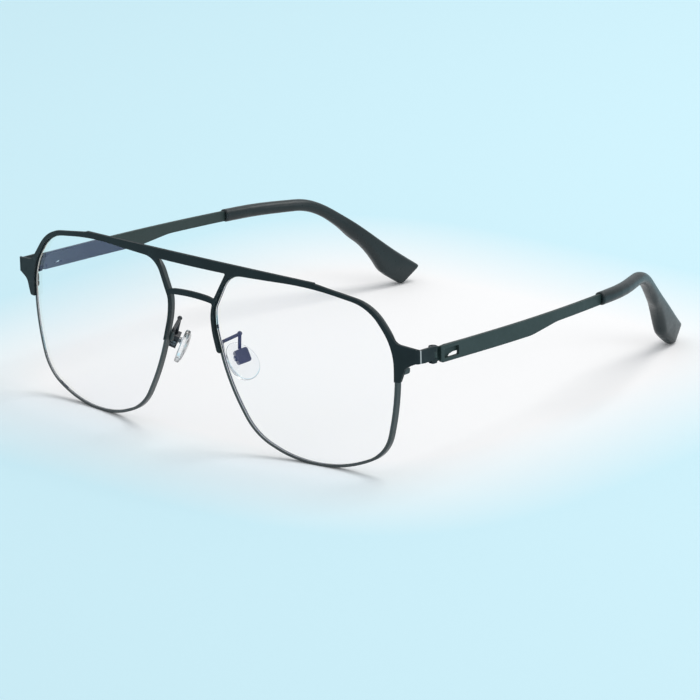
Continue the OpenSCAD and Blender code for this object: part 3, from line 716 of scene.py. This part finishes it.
def leaf_details(side_name):
    """The leaf's full height beside the barrels, and the tongue that half closes the window."""
    leaf_sheet("leaf_shoulder", SHOULDER_MM, LEAF_OUT_MM, LEAF_IN_MM, side_name)
    x_out, x_in = LEAF_OUT_MM + TONGUE_SHIFT_MM[0], LEAF_IN_MM + TONGUE_SHIFT_MM[1]
    leaf_sheet("leaf_tongue", TONGUE_MM, x_out, x_in, side_name)


def smooth_skin(piece, grain_mm, passes):
    """A copy of a faceted moulding's mesh as one smooth skin."""
    skin = piece.modifiers.new("skin", "REMESH")
    skin.mode = "VOXEL"
    skin.voxel_size = grain_mm * MM
    skin.use_smooth_shade = True
    even = piece.modifiers.new("even", "SMOOTH")
    even.factor = 0.5
    even.iterations = passes
    bpy.context.view_layer.update()
    graph = bpy.context.evaluated_depsgraph_get()
    mesh = bpy.data.meshes.new_from_object(piece.evaluated_get(graph))
    piece.modifiers.clear()
    return mesh


def spans(values, keys):
    """Lowest and highest value for each key."""
    found = {}
    for value, key in zip(values, keys):
        low, high = found.get(key, (value, value))
        found[key] = (min(low, value), max(high, value))
    return found


def eased(found, key, share):
    """The span at a key and a share of the way to the next one."""
    first = found[key]
    after = found.get(key + 1, first)
    return [a * (1 - share) + b * share for a, b in zip(first, after)]


def placed(value, low, high):
    """Where a value lies in a span, from -1 at its low end to 1 at its high end."""
    return (2 * value - low - high) / max(high - low, TIP_LEAST_MM)


def ramped(value, reach):
    """Share from 0 to 1 of a value over its reach."""
    return min(max(value / reach, 0.0), 1.0)


def hump(value, start, end, height):
    """A smooth rise and fall between two places."""
    return height * math.sin(math.pi * ramped(value - start, end - start)) ** 2


def corner_share(across, up):
    """Share from 0 to 1 toward the corner of a section where both its places are 1."""
    return ramped(0.7 + across, 1.2) * ramped(0.3 + up, 1.0)


def moulded_tip(side_name):
    """The tip with crowned faces, and a leg that swells toward the head above its hoof."""
    side = SIDES[side_name]
    mesh = smooth_skin(NODES[f"temple_tip_{side_name}"], TIP_GRAIN_MM, TIP_PASSES)
    spots = [(v.co.x * side / MM, v.co.y / MM, v.co.z / MM) for v in mesh.vertices]
    keys = [math.floor(y) for _, y, _ in spots]
    across = spans([x for x, _, _ in spots], keys)
    upright = spans([z for _, _, z in spots], keys)
    for vertex, (x, y, z), key in zip(mesh.vertices, spots, keys):
        inward = -placed(x, *eased(across, key, y - key))
        height = placed(z, *eased(upright, key, y - key))
        crown = max(0.0, 1 - height * height)
        swell = hump(y, *LEG_SWELL_MM) * ramped(inward + SWELL_START, 1.0)
        swell *= SWELL_AT_EDGE + (1 - SWELL_AT_EDGE) * crown
        fade = ramped(y - TIP_MOUTH_MM, TIP_FADE_MM) * ramped(TIP_END_MM - y, TIP_FADE_MM)
        vertex.co.x -= (swell + TIP_CROWN_MM * crown * inward * fade) * side * MM
        vertex.co.z -= hump(y, *THROAT_FILL_MM) * corner_share(-inward, -height) * MM
        vertex.co.z += hump(y, *NAPE_FILL_MM) * corner_share(inward, height) * MM
    mesh.materials.clear()
    mesh.materials.append(FINISHES["tip"])
    tip = show(f"moulded_tip_{side_name}", mesh)
    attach(tip, f"{side_name}_temple")
    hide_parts(f"temple_tip_{side_name}")


# Stage


def floor():
    """A plain pale floor: near white round the frame and pale blue further off."""
    mesh = bpy.data.meshes.new("floor")
    signs = [(-1, -1), (1, -1), (1, 1), (-1, 1)]
    corners = [(x * FLOOR_HALF, y * FLOOR_HALF, 0) for x, y in signs]
    mesh.from_pydata(corners, [], [(0, 1, 2, 3)])
    piece = show("floor", mesh)
    s = Shader("floor_paint")
    part = s.parts()
    offs = [s.math("SUBTRACT", part[axis], WHITE_MIDDLE[axis]) for axis in (0, 1)]
    powers = [s.math("POWER", s.math("ABSOLUTE", off), WHITE_POWER) for off in offs]
    reach = s.math("POWER", s.math("ADD", *powers), 1 / WHITE_POWER)
    colour = s.mixed(s.ramp(reach, 0.0, 1.0, *WHITE_EDGE), FLOOR_WHITE, FLOOR_BLUE)
    cloud = s.noise(grain_mm=60.0)
    colour = s.mixed(s.ramp(cloud, 0.0, 0.02), colour, grey(0.8))
    shader = s.principled({"Base Color": colour, "Roughness": 0.8, "Specular IOR Level": 0.1})
    mesh.materials.append(s.finish(shader.outputs[0]))


def light():
    """An even pale world and two large soft lamps."""
    world = bpy.data.worlds.new("studio")
    bpy.context.scene.world = world
    world.use_nodes = True
    backdrop = world.node_tree.nodes["Background"]
    backdrop.inputs["Color"].default_value = WORLD_COLOUR
    backdrop.inputs["Strength"].default_value = WORLD_STRENGTH
    for name, place, size, power, colour in LAMPS:
        data = bpy.data.lights.new(name, "AREA")
        data.shape, data.size, data.energy, data.color = "DISK", size, power, colour
        lamp = show(name, data)
        lamp.location = place
        lamp.rotation_mode = "QUATERNION"
        lamp.rotation_quaternion = (VIEW_TARGET - Vector(place)).to_track_quat("-Z", "Y")


def camera():
    """The photograph's view of the frame."""
    azimuth, elevation = math.radians(VIEW_AZIMUTH), math.radians(VIEW_ELEVATION)
    level = math.cos(elevation)
    back = Vector((math.sin(azimuth) * level, -math.cos(azimuth) * level, math.sin(elevation)))
    data = bpy.data.cameras.new("view")
    data.lens, data.sensor_width = FOCAL_MM, SENSOR_MM
    data.clip_start, data.clip_end = VIEW_CLIP
    eye = show("view", data)
    eye.rotation_mode = "QUATERNION"
    upright = back.to_track_quat("Z", "Y")
    turned = upright.to_matrix() @ Matrix.Rotation(math.radians(VIEW_ROLL), 3, "Z")
    eye.rotation_quaternion = turned.to_quaternion()
    eye.location = VIEW_TARGET + back * VIEW_DISTANCE
    bpy.context.scene.camera = eye


dress_nodes()
for side_name in SIDES:
    nose_pad(side_name)
    pad_core(side_name)
    pad_arm(side_name)
    braze(side_name)
    leaf_details(side_name)
    moulded_tip(side_name)
floor()
light()
camera()
bpy.context.scene.view_settings.view_transform = "Standard"
